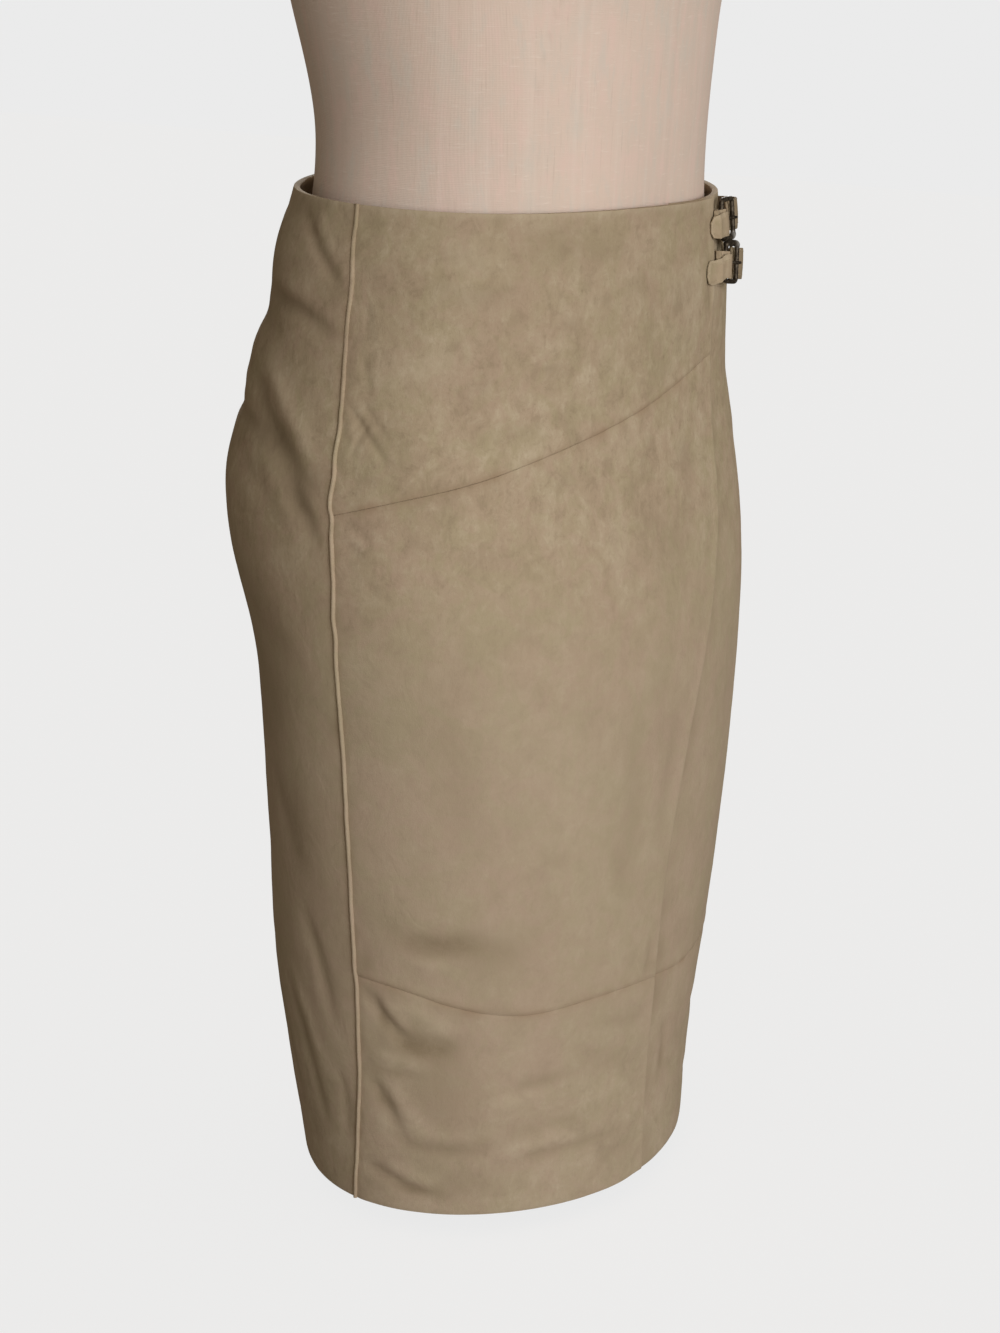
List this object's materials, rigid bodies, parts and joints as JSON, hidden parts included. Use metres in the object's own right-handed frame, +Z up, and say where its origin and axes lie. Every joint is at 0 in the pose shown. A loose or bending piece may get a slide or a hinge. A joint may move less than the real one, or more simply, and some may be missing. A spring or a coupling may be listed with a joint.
{
  "type": "pencil skirt on a dress form",
  "caption": "Knee-length faux suede pencil skirt with a faux-wrap front held by buckled straps, worn by a limbless linen dress form on a low stand.",
  "frame": {"origin": "middle of the underside of the stand's base disc, on the table", "axes": "+Z up, -Y out of the front of the skirt, -X to the wearer's right, +X to the wearer's left where the straps are buckled"},
  "size_m": [0.3483, 0.2607, 1.099],
  "materials": {
    "faux_suede": "olive-tan faux suede with a short mottled nap, seam lines and topstitching",
    "linen_cover": "pinkish natural linen stretched over the form, plain slub weave",
    "antique_metal": "dark antique finish, worn brighter on its edges",
    "stand_steel": "satin black powder coat",
    "turned_wood": "oiled beech, satin"
  },
  "bodies": {
    "root": {"back_panel": "faux_suede", "right_front_yoke": "faux_suede", "right_front_panel": "faux_suede", "right_front_hem_panel": "faux_suede", "left_front_panel": "faux_suede", "left_front_hem_panel": "faux_suede", "right_side_welt": "faux_suede", "left_side_welt": "faux_suede", "strap_upper": "faux_suede", "strap_lower": "faux_suede", "buckle_tab_upper": "faux_suede", "buckle_tab_lower": "faux_suede", "buckle_frame_upper": "antique_metal", "buckle_frame_lower": "antique_metal", "buckle_prong_upper": "antique_metal", "buckle_prong_lower": "antique_metal", "form_torso": "linen_cover", "form_neck_cap": "turned_wood", "form_armhole_plate_right": "turned_wood", "form_armhole_plate_left": "turned_wood", "form_pole": "stand_steel", "form_base": "stand_steel"}
  },
  "joints": []
}
